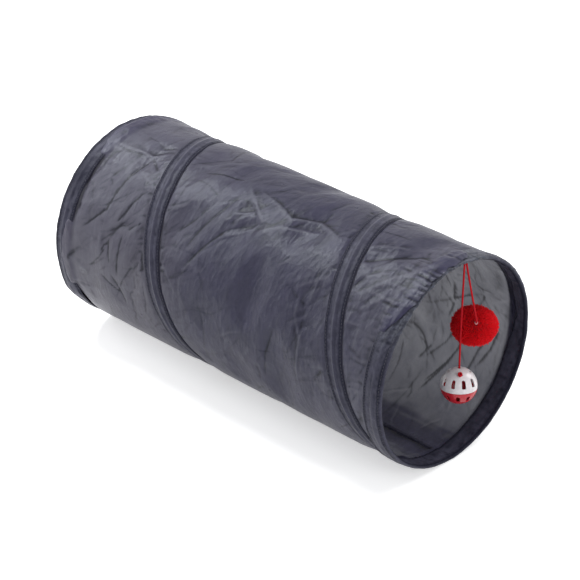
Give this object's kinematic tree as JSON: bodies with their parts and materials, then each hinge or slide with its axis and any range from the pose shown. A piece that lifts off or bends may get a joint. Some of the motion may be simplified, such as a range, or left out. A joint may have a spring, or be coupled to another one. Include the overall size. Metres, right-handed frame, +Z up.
{
  "type": "cat tunnel",
  "caption": "Pop-up fabric play tunnel for a cat, on spring wire, that folds flat along its axis, with a slotted ball and a pom-pom on cords in one mouth.",
  "frame": {"origin": "on the floor under the middle of the tunnel", "axes": "+X along the tunnel towards the mouth with the toys, +Z up, +Y to the left of someone who looks out of that mouth"},
  "size_m": [0.5057, 0.24, 0.2391],
  "materials": {
    "skin": "thin crinkled taffeta with a slight sheen",
    "helix_casing": "folded taffeta strip, stitched along both edges",
    "far_hem": "folded taffeta binding, stitched",
    "near_hem": "folded taffeta binding, stitched",
    "far_ring_wire": "drawn spring wire",
    "near_ring_wire": "drawn spring wire",
    "helix_wire": "drawn spring wire",
    "far_wire_ferrule": "crimped strip",
    "near_wire_ferrule": "crimped strip",
    "toy_cord_anchor": "knotted covered elastic",
    "ball_cord_top": "covered elastic",
    "ball_cord": "covered elastic",
    "ball_cord_end": "covered elastic, knotted",
    "ball_upper_shell": "glossy moulding",
    "ball_lower_shell": "glossy moulding",
    "bell_upper_half": "pressed sheet",
    "bell_lower_half": "pressed sheet",
    "bell_pellet": "rolled shot",
    "pompom_cord_top": "covered elastic",
    "pompom_cord": "covered elastic",
    "pompom_yarn": "soft cut yarn",
    "pompom_tie": "knotted thread"
  },
  "bodies": {
    "far_end": {"far_hem": "far_hem", "far_ring_wire": "far_ring_wire", "far_wire_ferrule": "far_wire_ferrule", "skin": "skin", "helix_casing": "helix_casing", "helix_wire": "helix_wire"},
    "near_end": {"near_hem": "near_hem", "near_ring_wire": "near_ring_wire", "near_wire_ferrule": "near_wire_ferrule", "toy_cord_anchor": "toy_cord_anchor"},
    "ball_strand_top": {"ball_cord_top": "ball_cord_top"},
    "ball_strand": {"ball_cord": "ball_cord"},
    "ball": {"ball_upper_shell": "ball_upper_shell", "ball_lower_shell": "ball_lower_shell", "ball_cord_end": "ball_cord_end"},
    "bell": {"bell_upper_half": "bell_upper_half", "bell_lower_half": "bell_lower_half"},
    "pellet": {"bell_pellet": "bell_pellet"},
    "pompom_strand_top": {"pompom_cord_top": "pompom_cord_top"},
    "pompom": {"pompom_cord": "pompom_cord", "pompom_yarn": "pompom_yarn", "pompom_tie": "pompom_tie"}
  },
  "joints": [
    {"name": "tunnel_collapse", "type": "slide", "parent": "far_end", "child": "near_end", "axis": [-1, 0, 0], "range_m": [0, 0.44], "stiffness_N_per_m": 20, "deforming": ["skin", "helix_casing", "helix_wire"]},
    {"name": "ball_swing_sideways", "type": "hinge", "parent": "near_end", "child": "ball_strand_top", "pos_m": [0.2338, 0.026, 0.22534], "axis": [-1, 0, 0], "range_deg": [0, 40]},
    {"name": "ball_swing_fore_aft", "type": "hinge", "parent": "ball_strand_top", "child": "ball_strand", "pos_m": [0.2338, 0.026, 0.22094], "axis": [0, 1, 0], "range_deg": [-60, 60]},
    {"name": "ball_spin", "type": "hinge", "parent": "ball_strand", "child": "ball", "pos_m": [0.23571, 0.02258, 0.0774], "axis": [-0.0956, 0.1011, 0.9903], "range_deg": [-180, 180], "stiffness_Nm_per_rad": 0.0001},
    {"name": "bell_roll", "type": "hinge", "parent": "ball", "child": "bell", "pos_m": [0.23571, 0.02258, 0.0774], "axis": [1, 0, 0], "range_deg": [-80, 80]},
    {"name": "pellet_roll", "type": "hinge", "parent": "bell", "child": "pellet", "pos_m": [0.23571, 0.02258, 0.0649], "axis": [0, 1, 0], "range_deg": [-80, 80]},
    {"name": "pompom_swing_sideways", "type": "hinge", "parent": "near_end", "child": "pompom_strand_top", "pos_m": [0.2338, 0.029, 0.22534], "axis": [1, 0, 0], "range_deg": [0, 16]},
    {"name": "pompom_swing_fore_aft", "type": "hinge", "parent": "pompom_strand_top", "child": "pompom", "pos_m": [0.2338, 0.029, 0.22094], "axis": [0, 1, 0], "range_deg": [-35, 35]}
  ]
}
